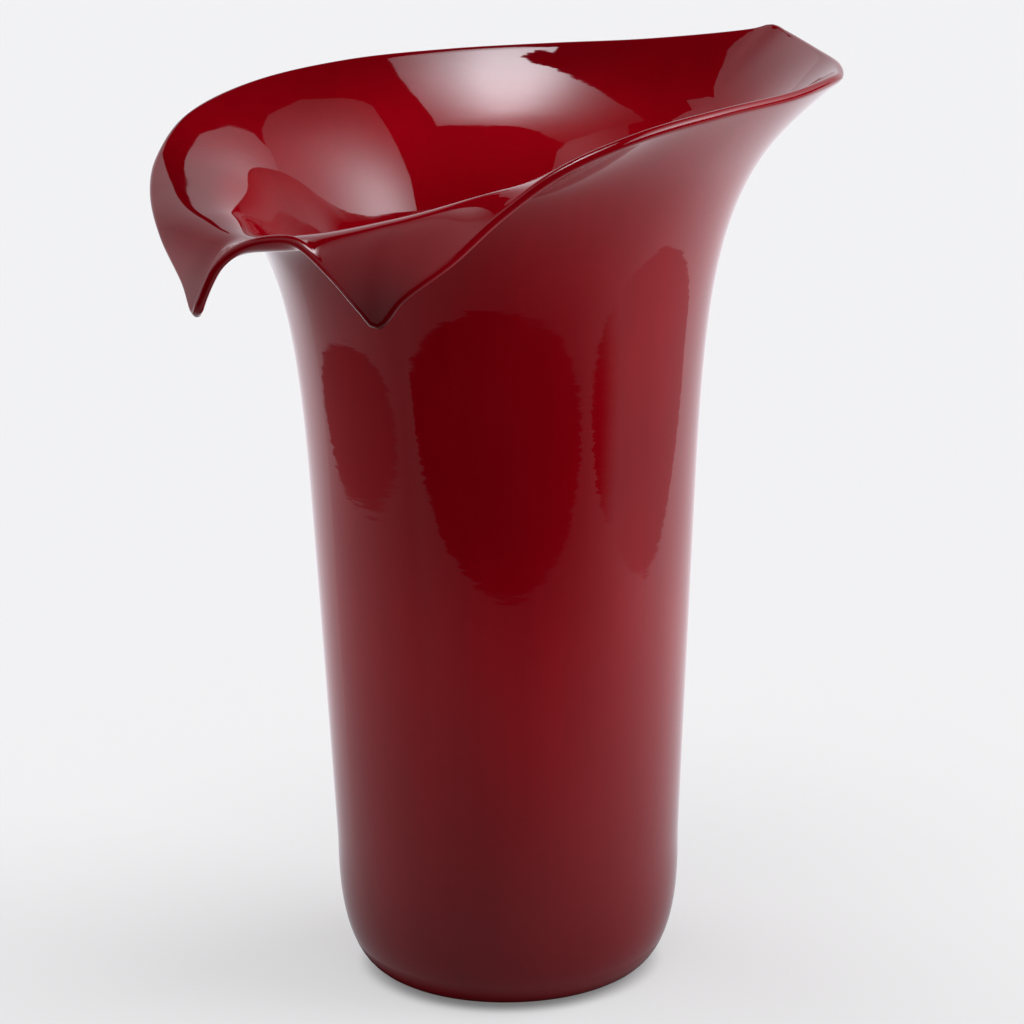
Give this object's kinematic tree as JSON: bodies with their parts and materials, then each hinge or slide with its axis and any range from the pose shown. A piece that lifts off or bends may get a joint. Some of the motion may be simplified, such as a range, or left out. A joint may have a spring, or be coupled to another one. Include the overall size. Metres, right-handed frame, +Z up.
{
  "type": "calla lily shaped glass vase",
  "caption": "Tall red blown-glass vase shaped like a calla lily: a tapered beaker on a rounded foot, opening into a trumpet with a wavy lip pulled out to drooping and rising tips.",
  "frame": {"origin": "centre of the flat foot, on the surface that the vase stands on", "axes": "+Z up along the axis of the body, -Y towards the front, +X towards the two high tips of the lip"},
  "size_m": [0.2592, 0.2346, 0.3542],
  "materials": {
    "red_glass": "opaque deep red blown glass, fire polished to a high gloss"
  },
  "bodies": {
    "root": {"vase": "red_glass"}
  },
  "joints": []
}
